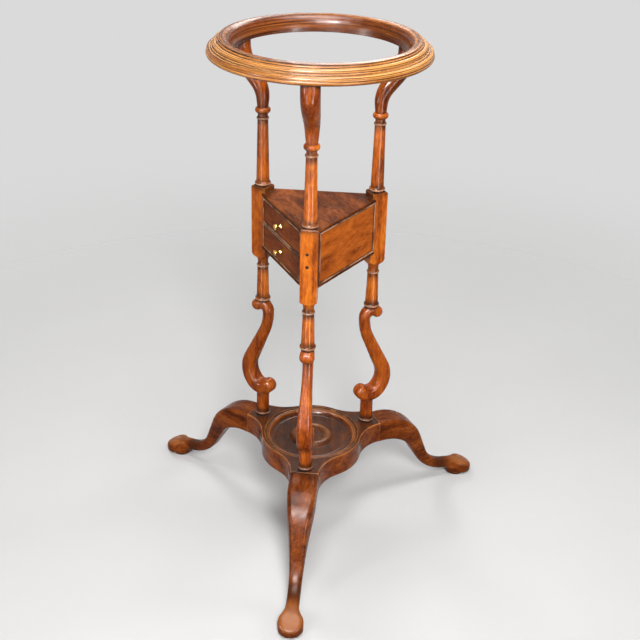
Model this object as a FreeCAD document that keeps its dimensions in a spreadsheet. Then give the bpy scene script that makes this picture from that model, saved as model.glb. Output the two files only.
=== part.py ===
"""Three-post basin stand: ring, scrolled posts, box with two drawers, dished platform, cabriole legs.

The stand's axis is Z, the floor is z = 0 and the drawers face -Y. All sizes are in millimetres.
"""
import FreeCAD, Part
import math
import os
import re

import Sketcher

# Driving dimensions. Angles are in degrees, counts are plain numbers.
SIZES = {
    # heights, from the floor up, one length for each stage of a post
    "platform_top": 157.5,
    "peg_length": 41.5,
    "scroll_height": 173,
    "lower_column_length": 78,
    "block_height": 119,
    "upper_column_length": 123,
    "arm_height": 96,
    "ring_depth": 25,
    # circle of the three posts, and the clearances used everywhere
    "post_circle_radius": 100.75,
    "joint_clearance": 0.1,
    "running_clearance": 0.3,
    # basin ring
    "ring_outer_radius": 160,
    "ring_throat_radius": 123,
    "ring_throat_length": 9,
    "ring_throat_bulge": 3.7,
    "ring_crest_radius": 136,
    "ring_band_radius": 141.5,
    "ring_band_drop": 1,
    "ring_quirk_depth": 2,
    "ring_lip_height": 6,
    "ring_lip_inset": 1.5,
    "ring_lip_bulge": 1.6,
    "ring_foot_inset": 3,
    "reed_pairs": 2,
    "narrow_reed_share": 0.3,
    "narrow_reed_bulge": 1.1,
    "wide_reed_bulge": 2.2,
    # round tenons and pins between the pieces of a post
    "arm_tenon_radius": 6,
    "arm_tenon_length": 12,
    "column_pin_radius": 4.5,
    "column_pin_length": 16,
    "scroll_pin_radius": 6,
    "scroll_pin_length": 14,
    "peg_tenon_radius": 7,
    "peg_tenon_length": 13,
    # arms that carry the ring
    "arm_reach": 39,
    "arm_lean": 43,
    "arm_bend_radius": 38,
    "arm_foot_straight": 12,
    "arm_head_straight": 8,
    "arm_foot_radius": 8.4,
    "arm_swell_radius": 12,
    "arm_head_radius": 13.3,
    # turned columns
    "block_width": 25,
    "block_chamfer": 1.5,
    "block_shoulder_radius": 11.4,
    "block_shoulder_height": 9,
    "block_shoulder_bulge": 2,
    "lower_shaft_foot_radius": 10.2,
    "lower_shaft_head_radius": 8.6,
    "upper_shaft_foot_radius": 10.1,
    "upper_shaft_head_radius": 8.1,
    "column_core_radius": 10.6,
    "foot_bead_height": 7,
    "foot_bead_bulge": 2.2,
    "thin_bead_height": 4,
    "thin_bead_bulge": 1.4,
    "lower_neck_length": 14,
    "neck_hollow": 1.2,
    "collar_height": 9,
    "collar_radius": 8.7,
    "collar_bulge": 3,
    "collar_neck_length": 6,
    "collar_neck_radius": 7.6,
    # S-scrolls
    "scroll_head_thickness": 18.5,
    "scroll_head_width": 23,
    "scroll_neck_thickness": 18,
    "scroll_neck_width": 17.6,
    "scroll_belly_thickness": 24,
    "scroll_belly_width": 24,
    "scroll_rounding": 8,
    "scroll_seat_depth": 2,
    "upper_hook_offset": 0.8,
    "upper_hook_radius": 12,
    "upper_hook_start": 48,
    "scroll_shoulder_radius": 90,
    "scroll_lean": 25,
    "scroll_belly_radius": 40,
    "scroll_belly_turn": 40,
    "lower_hook_radius": 20,
    "lower_hook_end": 132,
    # turned pegs
    "peg_radius": 10.5,
    "peg_collar_height": 5,
    "peg_collar_bulge": 2,
    # platform with its turned dish
    "platform_thickness": 36,
    "platform_reach": 117,
    "platform_waist": 82,
    "platform_edge_round": 1.2,
    "dish_radius": 76.5,
    "dish_bead_width": 8,
    "dish_quirk_depth": 2,
    "dish_bead_rise": 1.6,
    "dish_depth": 8,
    "dish_floor_radius": 58,
    "dish_boss_radius": 37,
    "dish_boss_rise": 5,
    "dish_cove": 2.5,
    "dish_well_radius": 17,
    "dish_well_depth": 4,
    # cabriole legs: knee and ankle start back from the middle of the foot, and the knee keeps its full
    # width to a place out from the platform
    "leg_root_width": 45,
    "leg_root_depth": 40,
    "leg_drop": 1.6,
    "leg_rounding": 7,
    "knee_start": 169.5,
    "knee_radius": 73.2,
    "knee_spread": 9.3,
    "knee_turn": 63.3,
    "leg_taper": 4.8,
    "shin_length": 40.5,
    "ankle_radius": 66.4,
    "ankle_spread": 12,
    "ankle_turn": 55,
    "knee_width_end": 30,
    "ankle_start": 62,
    "ankle_width": 20,
    "heel_radius": 12,
    "foot_crown_radius": 140,
    "foot_crown_turn": 30,
    "foot_flare_radius": 30,
    "foot_radius": 19.5,
    "foot_centre_radius": 298,
    "pad_inset": 10,
    "pad_radius": 15,
    "pad_height": 4,
    "dovetail_neck": 20,
    "dovetail_width": 27,
    "dovetail_length": 13,
    "dovetail_height": 19,
    # triangular box
    "box_drop": 8,
    "box_height": 92,
    "box_face_proud": 2,
    "board_thickness": 4.5,
    "board_overhang": 1,
    "board_nosing": 1.6,
    "panel_thickness": 12,
    "panel_bead_width": 3,
    "panel_bead_proud": 1.4,
    "panel_bead_round": 1,
    "divider_thickness": 5,
    "divider_groove_depth": 3,
    "pin_radius": 2.5,
    "pin_depth": 4,
    "pin_offset": 2.5,
    "pin_height": 61,
    "pin_spacing": 20,
    # drawers
    "drawer_gap": 0.8,
    "drawer_front_thickness": 11,
    "drawer_bead_width": 2.6,
    "drawer_bead_depth": 4,
    "drawer_bead_proud": 1.2,
    "drawer_bead_round": 0.9,
    "drawer_depth": 115,
    "drawer_back_width": 20,
    "drawer_lining_thickness": 6,
    "drawer_lining_height": 32,
    "drawer_bottom_thickness": 4,
    "drawer_stop_length": 14,
    # brass knobs
    "knob_head_radius": 4.6,
    "knob_length": 12,
    "knob_base_radius": 3.3,
    "knob_waist_hollow": 1.9,
    "knob_base_length": 1.2,
    "knob_head_length": 3.6,
    "knob_dome": 1.4,
    "knob_shank_radius": 1.5,
    "knob_shank_length": 8,
}

# Directions of the three posts, seen from above, and of the two closed sides of the box.
POST_ANGLES = {"left": -150, "right": -30, "rear": 90}
PANEL_TURNS = {"right": 120, "left": 240}

doc = FreeCAD.newDocument("BasinStand")
sheet = doc.addObject("Spreadsheet::Sheet", "Sizes")
for row, (alias, number) in enumerate(SIZES.items(), start=1):
    sheet.set(f"A{row}", alias)
    sheet.set(f"B{row}", str(number))
    sheet.setAlias(f"B{row}", alias)
doc.recompute()

SUBPARTS = []

# Two places closer than this are the same place.
TINY = 1e-3

# Heights of the stages of a post above the floor.
SCROLL_FOOT = "(platform_top + peg_length)"
COLUMN_FOOT = f"({SCROLL_FOOT} + scroll_height)"
BLOCK_TOP = f"({COLUMN_FOOT} + lower_column_length + block_height)"
ARM_FOOT = f"({BLOCK_TOP} + upper_column_length)"
RING_FOOT = f"({ARM_FOOT} + arm_height)"
BOX_TOP = f"({BLOCK_TOP} - box_drop)"
BOX_FLOOR = f"({BOX_TOP} - box_height + board_thickness)"
BOX_OPENING = "(box_height - 2 * board_thickness)"

# The inner corner of a post's block, along and out from the middle of a side of the box.
CORNER_ALONG = "(post_circle_radius * cos(30 deg) - block_width / 2 * (cos(30 deg) + sin(30 deg)))"
CORNER_OUT = "(post_circle_radius * sin(30 deg) + block_width / 2 * (cos(30 deg) - sin(30 deg)))"
BLOCK_INNER_FACE = "(post_circle_radius - block_width / 2)"

# Distances of the faces of a closed side of the box from the stand's axis.
BOX_FACE = f"({CORNER_OUT} + box_face_proud)"
PANEL_INNER_FACE = f"({BOX_FACE} - panel_thickness)"

# Pins through the outer faces of the front blocks, above the foot of the block and beside its middle.
PIN_LEVELS = ("pin_height", "(pin_height + pin_spacing)")
PIN_SHIFTS = {"left": "pin_offset", "right": "-pin_offset"}


def formula(text):
    """The expression for a line of arithmetic on the sheet's names."""
    return re.sub(r"[a-z_]+", lambda word: f"Sizes.{word[0]}" if word[0] in SIZES else word[0], text)


def value(text):
    """The number that a line of arithmetic on the sheet's names comes to."""
    result = sheet.evalExpression(formula(text))
    return float(getattr(result, "Value", result))


def new_body(label):
    body = doc.addObject("PartDesign::Body", label)
    body.Label = label
    SUBPARTS.append(body)
    return body


def place(thing, turn=0, radius="0", height="0", direction=None):
    """Stands a piece at a height, turned about the stand's axis and moved out along a direction."""
    heading = turn if direction is None else direction
    thing.Placement = FreeCAD.Placement(FreeCAD.Vector(), FreeCAD.Rotation(FreeCAD.Vector(0, 0, 1), turn))
    thing.setExpression("Placement.Base.x", formula(f"({radius}) * cos({heading} deg)"))
    thing.setExpression("Placement.Base.y", formula(f"({radius}) * sin({heading} deg)"))
    thing.setExpression("Placement.Base.z", formula(height))


def origin_feature(body, role):
    return next(feature for feature in body.Origin.OriginFeatures if feature.Role == role)


def attach(thing, body, plane, base=("0", "0", "0"), direction=(0, 0, 1), lean=None):
    """Attaches to an origin plane, shifted by formulas, facing a direction or leaning about Y."""
    thing.AttachmentSupport = [(origin_feature(body, plane), "")]
    thing.MapMode = "FlatFace"
    rotation = FreeCAD.Rotation(FreeCAD.Vector(0, 0, 1), FreeCAD.Vector(*direction))
    if lean:
        sign = 1 if value(lean) > 0 else -1
        rotation = FreeCAD.Rotation(FreeCAD.Vector(0, sign, 0), sign * value(lean))
    thing.AttachmentOffset = FreeCAD.Placement(FreeCAD.Vector(), rotation)
    for axis, text in zip("xyz", base):
        thing.setExpression(f".AttachmentOffset.Base.{axis}", formula(text))
    if lean:
        thing.setExpression(".AttachmentOffset.Rotation.Angle", formula(f"{sign} * ({lean}) * 1 deg"))


def bulge(start, end, rise):
    """An arc step to a point, whose middle rises to the left of the straight line there."""
    (x0, y0), (x1, y1) = start, end
    chord = f"sqrt((({x1}) - ({x0}))^2 + (({y1}) - ({y0}))^2)"
    middle_x = f"(({x0}) + ({x1})) / 2 - ({rise}) * (({y1}) - ({y0})) / {chord}"
    middle_y = f"(({y0}) + ({y1})) / 2 + ({rise}) * (({x1}) - ({x0})) / {chord}"
    return (middle_x, middle_y, x1, y1)


def around(centre, radius, angle):
    """A point on a circle, at an angle in degrees."""
    return (f"({centre[0]} + ({radius}) * cos(({angle}) * 1 deg))",
            f"({centre[1]} + ({radius}) * sin(({angle}) * 1 deg))")


def sweep(centre, radius, first, last):
    """An arc step about a centre, from one angle to another."""
    return around(centre, radius, f"(({first}) + ({last})) / 2") + around(centre, radius, last)


def arc_through(start, middle, end):
    """A circular arc, and whether its own direction runs from end to start."""
    circle = Part.ArcOfCircle(start, middle, end)
    turn = (middle - start).cross(end - middle).z
    first, last = (start, end) if turn > 0 else (end, start)
    angles = [math.atan2(p.y - circle.Center.y, p.x - circle.Center.x) for p in (first, last)]
    flat = Part.Circle(circle.Center, FreeCAD.Vector(0, 0, 1), circle.Radius)
    return Part.ArcOfCircle(flat, *angles), turn <= 0


class Tie:
    """Collects constraints on points of a sketch and the formulas that drive them."""

    def __init__(self, sketch):
        self.sketch = sketch
        self.constraints = []
        self.drives = []

    def add(self, *words):
        self.constraints.append(Sketcher.Constraint(*words))

    def drive(self, kind, *words, text):
        self.drives.append((len(self.constraints), text))
        self.constraints.append(Sketcher.Constraint(kind, *words, value(text)))

    def pin(self, geometry, point, x, y):
        """Holds a point at formulas for its two coordinates."""
        self.drive("DistanceX", -1, 1, geometry, point, text=x)
        self.drive("DistanceY", -1, 1, geometry, point, text=y)

    def finish(self):
        self.sketch.addConstraint(self.constraints)
        for index, text in self.drives:
            self.sketch.setExpression(f"Constraints[{index}]", formula(text))


def outline(body, name, plane, path, base=("0", "0", "0"), lean=None, closed=True):
    """A sketch through corners. A pair is a straight step, four formulas are an arc's middle and its end."""
    sketch = body.newObject("Sketcher::SketchObject", name)
    attach(sketch, body, plane, base, lean=lean)
    corners = [FreeCAD.Vector(value(step[-2]), value(step[-1]), 0) for step in path]
    steps = list(enumerate(path)) if closed else list(enumerate(path))[1:]
    tie = Tie(sketch)
    ends = []
    middles = []
    for index, step in steps:
        start, end = corners[index - 1], corners[index]
        if len(step) == 2:
            sketch.addGeometry(Part.LineSegment(start, end), False)
            ends.append((1, 2))
            continue
        middle = FreeCAD.Vector(value(step[0]), value(step[1]), 0)
        arc, backwards = arc_through(start, middle, end)
        middles.append((sketch.addGeometry(arc, False), step, middle))
        ends.append((2, 1) if backwards else (1, 2))
    for geometry, (index, step) in enumerate(steps):
        tie.pin(geometry, ends[geometry][1], step[-2], step[-1])
        if closed or geometry:
            tie.add("Coincident", geometry - 1 if geometry else len(steps) - 1, ends[geometry - 1][1],
                    geometry, ends[geometry][0])
    if not closed:
        tie.pin(0, ends[0][0], *path[0])
    for geometry, step, middle in middles:
        point = sketch.addGeometry(Part.Point(middle), True)
        tie.add("PointOnObject", point, 1, geometry)
        tie.pin(point, 1, step[0], step[1])
    tie.finish()
    return sketch


def circle_sketch(body, name, plane, radius, centre=("0", "0"), base=("0", "0", "0"), lean=None):
    sketch = body.newObject("Sketcher::SketchObject", name)
    attach(sketch, body, plane, base, lean=lean)
    middle = FreeCAD.Vector(value(centre[0]), value(centre[1]), 0)
    sketch.addGeometry(Part.Circle(middle, FreeCAD.Vector(0, 0, 1), value(radius)), False)
    tie = Tie(sketch)
    tie.pin(0, 3, *centre)
    tie.drive("Radius", 0, text=radius)
    tie.finish()
    return sketch


def rectangle(x0, y0, x1, y1):
    return [(x0, y0), (x1, y0), (x1, y1), (x0, y1)]


def rounded_rectangle(width, depth, rounding):
    """An outline centred on the origin, with round corners."""
    x, y, r = f"(({width}) / 2)", f"(({depth}) / 2)", f"({rounding})"
    inner_x, inner_y, diagonal = f"({x} - {r})", f"({y} - {r})", f"{r} * cos(45 deg)"
    return [
        (f"-{inner_x} - {diagonal}", f"-{inner_y} - {diagonal}", f"-{inner_x}", f"-{y}"),
        (inner_x, f"-{y}"),
        (f"{inner_x} + {diagonal}", f"-{inner_y} - {diagonal}", x, f"-{inner_y}"),
        (x, inner_y),
        (f"{inner_x} + {diagonal}", f"{inner_y} + {diagonal}", inner_x, y),
        (f"-{inner_x}", y),
        (f"-{inner_x} - {diagonal}", f"{inner_y} + {diagonal}", f"-{x}", inner_y),
        (f"-{x}", f"-{inner_y}"),
    ]


def feature(body, kind, name, profile, **properties):
    """A feature on a sketch. Properties given as text are formulas, the rest are set as they are."""
    thing = body.newObject(f"PartDesign::{kind}", name)
    thing.Profile = profile
    for key, setting in properties.items():
        if isinstance(setting, str) and key in ("Length", "Angle", "Radius", "Size"):
            thing.setExpression(key, formula(setting))
        else:
            setattr(thing, key, setting)
    return thing


def revolve(body, name, path, kind="Revolution", plane="XZ_Plane", angle=360):
    """A turned form, from half its section beside the sketch's upright axis."""
    sketch = outline(body, f"{name}_section", plane, path)
    return feature(body, kind, name, sketch, ReferenceAxis=(sketch, ["V_Axis"]), Angle=angle)


def swept(body, name, path, sections):
    """A form that runs along a path in the XZ plane and changes from section to section."""
    line = outline(body, f"{name}_line", "XZ_Plane", path, closed=False)
    edges = [f"Edge{number}" for number in range(1, len(path))]
    return feature(body, "AdditivePipe", name, sections[0], Spine=(line, edges), Sections=sections[1:],
                   Transformation="Multisection")


def pad(body, name, path, length, plane="XY_Plane", base=("0", "0", "0"), **properties):
    sketch = outline(body, f"{name}_outline", plane, path, base)
    return feature(body, "Pad", name, sketch, Length=length, **properties)


def cut(body, name, path, length, plane="XY_Plane", base=("0", "0", "0"), upward=False):
    """Cuts an outline down from its plane, or up from it."""
    sketch = outline(body, f"{name}_outline", plane, path, base)
    return feature(body, "Pocket", name, sketch, Length=length, Reversed=upward)


def bore(body, name, radius, depth, base, direction):
    """A round hole from a point along a fixed direction."""
    hole = body.newObject("PartDesign::SubtractiveCylinder", name)
    attach(hole, body, "XY_Plane", base, direction)
    hole.setExpression("Radius", formula(radius))
    hole.setExpression("Height", formula(depth))
    return hole


def three_times(body, name, originals):
    """Repeats features on the three posts."""
    pattern = body.newObject("PartDesign::PolarPattern", name)
    pattern.Originals = originals
    pattern.Axis = (origin_feature(body, "Z_Axis"), [""])
    pattern.Angle = 360
    pattern.Occurrences = len(POST_ANGLES)
    body.Tip = pattern
    return pattern


def dress(body, kind, name, picked, size):
    """Rounds or chamfers the edges of the body's tip that a test picks."""
    doc.recompute()
    tip = body.Tip
    edges = [f"Edge{i}" for i, edge in enumerate(tip.Shape.Edges, start=1) if picked(edge)]
    thing = body.newObject(f"PartDesign::{kind}", name)
    thing.Base = (tip, edges)
    thing.setExpression("Radius" if kind == "Fillet" else "Size", formula(size))
    return thing


def at_height(edge, height):
    """Whether an edge lies level at a height."""
    box = edge.BoundBox
    return abs(box.ZMin - height) < TINY and abs(box.ZMax - height) < TINY


def basin_ring():
    """The turned ring: a rounded throat, a flat band, narrow and wide reeds in turn, and a lip."""
    body = new_body("basin_ring")
    throat = ("ring_throat_radius", "ring_throat_length")
    crest = ("ring_crest_radius", "ring_depth")
    reed_head = "(ring_depth - ring_band_drop - ring_quirk_depth)"
    path = [
        ("ring_throat_radius", "0"),
        throat,
        bulge(throat, crest, "ring_throat_bulge"),
        ("ring_band_radius", "ring_depth - ring_band_drop"),
        ("ring_band_radius", reed_head),
    ]
    pairs = round(value("reed_pairs"))
    lip = "(ring_outer_radius - ring_lip_inset)"
    for pair in range(pairs):
        for reach, rise in (("narrow_reed_share", "narrow_reed_bulge"), ("1", "wide_reed_bulge")):
            share = f"(({pair} + {reach}) / {pairs})"
            out = f"ring_band_radius + ({lip} - ring_band_radius) * {share}"
            up = f"{reed_head} + (ring_lip_height - {reed_head}) * {share}"
            path.append(bulge(path[-1][-2:], (out, up), rise))
    path.append(bulge(path[-1][-2:], ("ring_outer_radius - ring_foot_inset", "0"), "ring_lip_bulge"))
    revolve(body, "moulding", path)
    socket = bore(body, "arm_socket", "arm_tenon_radius + joint_clearance",
                  "arm_tenon_length + joint_clearance",
                  ("post_circle_radius + arm_reach", "0", "0"), (0, 0, 1))
    three_times(body, "arm_sockets", [socket])
    place(body, POST_ANGLES["rear"], height=RING_FOOT)


# The S-line of an arm: upright at its foot, a lower bend out, a slanting stretch and an upper bend that
# brings it upright again under the ring.
ARM_LOWER_BEND = ("arm_bend_radius", "arm_foot_straight")
ARM_BEND_END = around(ARM_LOWER_BEND, "arm_bend_radius", "180 - arm_lean")
ARM_RUN = f"(arm_reach - {ARM_BEND_END[0]})"
ARM_RISE = f"(arm_height - arm_head_straight - {ARM_BEND_END[1]})"
ARM_SLANT = f"({ARM_RISE} * sin(arm_lean * 1 deg) - {ARM_RUN} * cos(arm_lean * 1 deg))"
ARM_UPPER_RADIUS = f"({ARM_SLANT} / (1 - cos(arm_lean * 1 deg)))"
ARM_UPPER_BEND = (f"(arm_reach - {ARM_UPPER_RADIUS})", "(arm_height - arm_head_straight)")


def arm(side):
    """A swan-necked arm of round section that bends out from its column's collar and swells to the ring."""
    body = new_body(f"{side}_arm")
    line = [
        ("0", "0"),
        ("0", "arm_foot_straight"),
        sweep(ARM_LOWER_BEND, "arm_bend_radius", "180", "180 - arm_lean"),
        around(ARM_UPPER_BEND, ARM_UPPER_RADIUS, "-arm_lean"),
        sweep(ARM_UPPER_BEND, ARM_UPPER_RADIUS, "-arm_lean", "0"),
        ("arm_reach", "arm_height"),
    ]
    places = {"foot": ("0", "0"), "swell": ARM_BEND_END, "head": ("arm_reach", "arm_height")}
    sections = []
    for name, (along, up) in places.items():
        lean = "arm_lean" if name == "swell" else None
        sections.append(circle_sketch(body, f"{name}_section", "XY_Plane", f"arm_{name}_radius",
                                      base=(along, "0", up), lean=lean))
    swept(body, "swan_neck", line, sections)
    tenon = circle_sketch(body, "tenon_section", "XY_Plane", "arm_tenon_radius",
                          base=("arm_reach", "0", "arm_height"))
    feature(body, "Pad", "tenon", tenon, Length="arm_tenon_length")
    bore(body, "column_socket", "column_pin_radius + joint_clearance", "column_pin_length + joint_clearance",
         ("0", "0", "0"), (0, 0, 1))
    place(body, POST_ANGLES[side], "post_circle_radius", ARM_FOOT)


def bead(radius, foot, head, rise):
    """A rounded step up the outside of a turning."""
    return bulge((radius, foot), (radius, head), f"-{rise}")


def column(side):
    """A turned post with a square, round-shouldered block where the box joins, and a pin at each end."""
    body = new_body(f"{side}_column")
    block_foot = "lower_column_length"
    block_head = "(lower_column_length + block_height)"
    head = f"({block_head} + upper_column_length)"
    lower_bead = f"({block_foot} - lower_neck_length)"
    collar_foot = f"({head} - collar_height)"
    upper_bead = f"({collar_foot} - collar_neck_length)"
    path = [
        ("0", "-scroll_pin_length"),
        ("scroll_pin_radius", "-scroll_pin_length"),
        ("scroll_pin_radius", "0"),
        ("lower_shaft_foot_radius", "0"),
        bead("lower_shaft_foot_radius", "0", "foot_bead_height", "foot_bead_bulge"),
        ("lower_shaft_head_radius", f"{lower_bead} - thin_bead_height"),
        bead("lower_shaft_head_radius", f"{lower_bead} - thin_bead_height", lower_bead, "thin_bead_bulge"),
        bulge(("lower_shaft_head_radius", lower_bead), ("column_core_radius", block_foot), "neck_hollow"),
        ("column_core_radius", block_head),
        ("upper_shaft_foot_radius", block_head),
        bead("upper_shaft_foot_radius", block_head, f"{block_head} + foot_bead_height", "foot_bead_bulge"),
        ("upper_shaft_head_radius", f"{upper_bead} - thin_bead_height"),
        bead("upper_shaft_head_radius", f"{upper_bead} - thin_bead_height", upper_bead, "thin_bead_bulge"),
        ("collar_neck_radius", upper_bead),
        ("collar_neck_radius", collar_foot),
        ("collar_radius", collar_foot),
        bead("collar_radius", collar_foot, head, "collar_bulge"),
        ("column_pin_radius", head),
        ("column_pin_radius", f"{head} + column_pin_length"),
        ("0", f"{head} + column_pin_length"),
    ]
    revolve(body, "turning", path)
    half = "block_width / 2"
    square = rectangle(f"-{half}", f"-{half}", half, half)
    pad(body, "block", square, "block_height", base=("0", "0", block_foot))

    def block_top(edge):
        return isinstance(edge.Curve, Part.Line) and at_height(edge, value(block_head))

    dress(body, "Chamfer", "block_end", block_top, "block_chamfer")
    shoulder_foot = ("block_shoulder_radius", block_foot)
    shoulder_head = ("block_width * sqrt(0.5)", f"{block_foot} + block_shoulder_height")
    revolve(body, "shoulder", [
        shoulder_foot,
        bulge(shoulder_foot, shoulder_head, "-block_shoulder_bulge"),
        ("block_width", shoulder_head[1]),
        ("block_width", block_foot),
    ], kind="Groove")
    if side in PIN_SHIFTS:
        for index, level in enumerate(PIN_LEVELS):
            start = ("-block_width", PIN_SHIFTS[side], f"{block_foot} + {level}")
            bore(body, f"pin_hole_{index}", "pin_radius + joint_clearance", "2 * block_width", start,
                 (1, 0, 0))
    place(body, POST_ANGLES[side], "post_circle_radius", COLUMN_FOOT)


# The S-line of a scroll: upper hook, shoulder, straight waist, belly, lower hook, each tangent to the next.
UPPER_HOOK = ("upper_hook_offset",
              "(scroll_height + scroll_seat_depth - scroll_head_thickness / 2 - upper_hook_radius)")
SHOULDER = (f"({UPPER_HOOK[0]} - upper_hook_radius + scroll_shoulder_radius)", UPPER_HOOK[1])
WAIST_HEAD = around(SHOULDER, "scroll_shoulder_radius", "180 + scroll_lean")
LOWER_HOOK_HEIGHT = "(lower_hook_radius + scroll_belly_thickness / 2 - scroll_seat_depth)"
BELLY_RISE = "((scroll_belly_radius - lower_hook_radius) * sin(scroll_belly_turn * 1 deg))"
BELLY_HEIGHT = f"({LOWER_HOOK_HEIGHT} + {BELLY_RISE})"
WAIST_FOOT_HEIGHT = f"({BELLY_HEIGHT} + scroll_belly_radius * sin(scroll_lean * 1 deg))"
WAIST_FOOT = (f"({WAIST_HEAD[0]} + ({WAIST_HEAD[1]} - {WAIST_FOOT_HEIGHT}) * tan(scroll_lean * 1 deg))",
              WAIST_FOOT_HEIGHT)
BELLY = (f"({WAIST_FOOT[0]} - scroll_belly_radius * cos(scroll_lean * 1 deg))", BELLY_HEIGHT)
LOWER_HOOK = (f"({BELLY[0]} + (scroll_belly_radius - lower_hook_radius) * cos(scroll_belly_turn * 1 deg))",
              LOWER_HOOK_HEIGHT)

# The sections of a scroll from its head to its foot: the sizes that shape it, its place on the S-line and
# its turn there.
SCROLL_SECTIONS = {
    "head": ("head", around(UPPER_HOOK, "upper_hook_radius", "upper_hook_start"), "-upper_hook_start"),
    "neck": ("neck", around(UPPER_HOOK, "upper_hook_radius", "180"), "-180"),
    "belly": ("belly", around(BELLY, "scroll_belly_radius", "0"), "-180"),
    "foot": ("belly", around(LOWER_HOOK, "lower_hook_radius", "-lower_hook_end"), "lower_hook_end - 180"),
}


def scroll_section(shape):
    """The rounded section of a scroll at its head, neck or belly."""
    thickness, width = f"scroll_{shape}_thickness", f"scroll_{shape}_width"
    return rounded_rectangle(thickness, width, f"min(scroll_rounding; 0.46 * min({thickness}; {width}))")


def scroll(side):
    """An S-scroll that swells from its neck to its belly, with rounded tips, seated flat above and below."""
    body = new_body(f"{side}_scroll")
    line = [
        SCROLL_SECTIONS["head"][1],
        sweep(UPPER_HOOK, "upper_hook_radius", "upper_hook_start", "180"),
        sweep(SHOULDER, "scroll_shoulder_radius", "180", "180 + scroll_lean"),
        WAIST_FOOT,
        sweep(BELLY, "scroll_belly_radius", "scroll_lean", "-scroll_belly_turn"),
        sweep(LOWER_HOOK, "lower_hook_radius", "-scroll_belly_turn", "-lower_hook_end"),
    ]
    sections = []
    for name, (shape, (along, up), lean) in SCROLL_SECTIONS.items():
        base = (along, "0", up)
        sections.append(outline(body, f"{name}_section", "XY_Plane", scroll_section(shape), base, lean))
    swept(body, "s_form", line, sections)
    for name in ("head", "foot"):
        shape, (along, up), lean = SCROLL_SECTIONS[name]
        width = f"scroll_{shape}_width"
        half_section = [("0", f"-{width} / 2")] + scroll_section(shape)[1:5] + [("0", f"{width} / 2")]
        half = outline(body, f"{name}_half", "XY_Plane", half_section, (along, "0", up), lean)
        feature(body, "Revolution", f"{name}_tip", half, ReferenceAxis=(half, ["V_Axis"]), Angle=180,
                Reversed=name == "foot")
    wide = "(4 * scroll_belly_thickness)"
    seat = rectangle(f"-{wide}", f"-{wide}", wide, wide)
    cut(body, "upper_seat", seat, "scroll_belly_thickness", base=("0", "0", "scroll_height"), upward=True)
    cut(body, "lower_seat", seat, "scroll_belly_thickness")
    socket = ("scroll_pin_radius + joint_clearance", "scroll_pin_length + joint_clearance")
    bore(body, "column_socket", *socket, ("0", "0", "scroll_height"), (0, 0, -1))
    bore(body, "peg_socket", *socket, ("0", "0", "0"), (0, 0, 1))
    place(body, POST_ANGLES[side], "post_circle_radius", SCROLL_FOOT)


def peg(side):
    """A short turned peg with a collar, tenoned into the platform and pinned into the scroll."""
    body = new_body(f"{side}_peg")
    pin_head = "peg_length + scroll_pin_length"
    path = [
        ("0", "-peg_tenon_length"),
        ("peg_tenon_radius", "-peg_tenon_length"),
        ("peg_tenon_radius", "0"),
        ("peg_radius", "0"),
        bead("peg_radius", "0", "peg_collar_height", "peg_collar_bulge"),
        ("peg_radius", "peg_length"),
        ("scroll_pin_radius", "peg_length"),
        ("scroll_pin_radius", pin_head),
        ("0", pin_head),
    ]
    revolve(body, "turning", path)
    place(body, POST_ANGLES[side], "post_circle_radius", "platform_top")


def turned(point, angle):
    """A point of the plan, turned about the stand's axis."""
    x, y = point
    return (f"(({x}) * cos({angle} deg) - ({y}) * sin({angle} deg))",
            f"(({x}) * sin({angle} deg) + ({y}) * cos({angle} deg))")


def dovetail(clearance):
    """A key that widens into the platform, in plan, from the leg's face."""
    neck, width = f"(dovetail_neck / 2 + {clearance})", f"(dovetail_width / 2 + {clearance})"
    inner = f"platform_reach - dovetail_length - {clearance}"
    overlap = "platform_reach + joint_clearance"
    return [
        (overlap, f"-{neck}"),
        (overlap, neck),
        ("platform_reach", neck),
        (inner, width),
        (inner, f"-{width}"),
        ("platform_reach", f"-{neck}"),
    ]


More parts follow.
